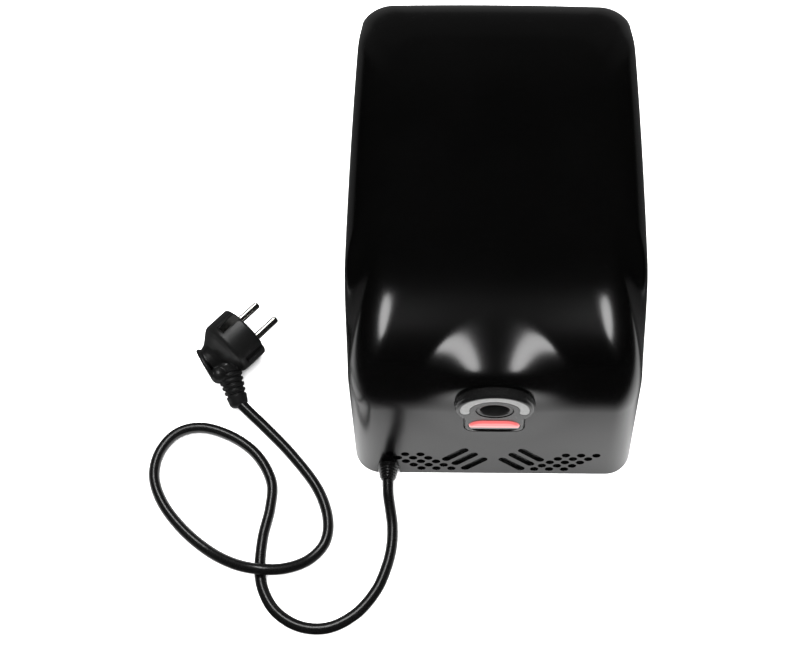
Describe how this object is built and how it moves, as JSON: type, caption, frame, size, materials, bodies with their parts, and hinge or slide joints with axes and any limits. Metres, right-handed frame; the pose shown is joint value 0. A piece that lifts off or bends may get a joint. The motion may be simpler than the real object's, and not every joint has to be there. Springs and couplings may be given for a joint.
{
  "type": "hand dryer",
  "caption": "Compact automatic wall hand dryer: glossy rounded cover, slim air outlet with light ring and sensor, fan, heater, mains lead with angled plug.",
  "frame": {"origin": "middle of the wall face of the cover, lead and plug left out", "axes": "+X to the right, -Y is the end the air leaves by, +Z out of the wall face to the front of the cover"},
  "size_m": [0.3046, 0.3778, 0.152],
  "materials": {
    "cover_gloss": "high gloss black moulding",
    "zinc_plate": "zinc plated sheet",
    "screw_steel": "plated screw steel",
    "bezel_satin": "satin black moulding",
    "nozzle_satin": "satin dark grey",
    "light_diffuser": "milky diffuser",
    "circuit_board": "green solder mask",
    "red_lens": "red translucent lens",
    "black_moulding": "matt black moulding",
    "diode_epoxy": "dark epoxy",
    "filter_foam": "open cell foam",
    "duct_moulding": "heat resistant moulding",
    "mica_sheet": "mica sheet",
    "resistance_wire": "oxidised resistance wire",
    "housing_moulding": "glass filled moulding",
    "black_rubber": "rubber",
    "lamination_steel": "stacked laminations",
    "copper_wire": "enamelled copper",
    "bearing_steel": "ground steel",
    "cast_alloy": "die cast alloy",
    "brass_sheet": "brass",
    "transformer_wrap": "taped transformer",
    "relay_case": "blue case",
    "capacitor_case": "yellow case",
    "terminal_moulding": "white moulding",
    "lead_insulation": "insulated wire",
    "cord_pvc": "black flexible sheath",
    "plug_pvc": "black moulded plug",
    "nickel_brass": "nickel plated brass",
    "commutator_copper": "turned copper",
    "impeller_moulding": "moulded impeller",
    "carbon": "carbon graphite"
  },
  "bodies": {
    "root": {"cover": "cover_gloss", "back_plate": "zinc_plate", "cover_screws": "screw_steel", "outlet_bezel": "bezel_satin", "nozzle_ring": "nozzle_satin", "light_ring": "light_diffuser", "light_board": "circuit_board", "sensor_window": "red_lens", "sensor_housing": "black_moulding", "sensor_board": "circuit_board", "sensor_diodes": "diode_epoxy", "inlet_filter": "filter_foam", "air_duct": "duct_moulding", "heater_frame": "mica_sheet", "heater_coils": "resistance_wire", "thermal_cutout": "screw_steel", "fan_housing": "housing_moulding", "housing_saddles": "zinc_plate", "rubber_mounts": "black_rubber", "housing_straps": "zinc_plate", "saddle_screws": "screw_steel", "motor_can": "housing_moulding", "stator_core": "lamination_steel", "field_coils": "copper_wire", "lower_bearing": "bearing_steel", "bearing_bridge": "cast_alloy", "upper_bearing": "bearing_steel", "diffuser_plate": "black_moulding", "brush_holders": "brass_sheet", "brush_spring_upper": "bearing_steel", "brush_spring_lower": "bearing_steel", "control_board": "circuit_board", "board_standoffs": "brass_sheet", "m3_screws": "screw_steel", "transformer": "transformer_wrap", "relay": "relay_case", "triac": "cast_alloy", "filter_capacitor": "capacitor_case", "terminal_block": "terminal_moulding", "cord_clamp": "black_moulding", "internal_leads": "lead_insulation", "trimmer_base": "relay_case", "heat_switch_base": "black_moulding", "cord_gland": "cord_pvc", "power_cord": "cord_pvc", "plug_body": "plug_pvc", "plug_pins": "nickel_brass", "earth_clips": "nickel_brass"},
    "rotor": {"rotor_shaft": "bearing_steel", "armature_core": "lamination_steel", "armature_windings": "copper_wire", "commutator": "commutator_copper", "impeller": "impeller_moulding", "impeller_nut": "screw_steel"},
    "upper_brush": {"brush_upper": "carbon"},
    "lower_brush": {"brush_lower": "carbon"},
    "dial": {"trimmer_dial": "terminal_moulding"},
    "slider": {"heat_switch_slider": "terminal_moulding"}
  },
  "joints": [
    {"name": "rotor_spin", "type": "hinge", "parent": "root", "child": "rotor", "pos_m": [0, 0, 0.091], "axis": [0, 1, 0], "continuous": true},
    {"name": "upper_brush_slide", "type": "slide", "parent": "root", "child": "upper_brush", "axis": [0, 0, 1], "range_m": [0, 0.004], "stiffness_N_per_m": 150, "springref_m": -0.01, "deforming": ["brush_spring_upper"]},
    {"name": "lower_brush_slide", "type": "slide", "parent": "root", "child": "lower_brush", "axis": [0, 0, -1], "range_m": [0, 0.004], "stiffness_N_per_m": 150, "springref_m": -0.01, "deforming": ["brush_spring_lower"]},
    {"name": "trimmer_turn", "type": "hinge", "parent": "root", "child": "dial", "pos_m": [0.024, 0.092, 0.0136], "axis": [0, 0, 1], "range_deg": [-135, 135]},
    {"name": "heat_switch_slide", "type": "slide", "parent": "root", "child": "slider", "axis": [1, 0, 0], "range_m": [0, 0.008]}
  ]
}
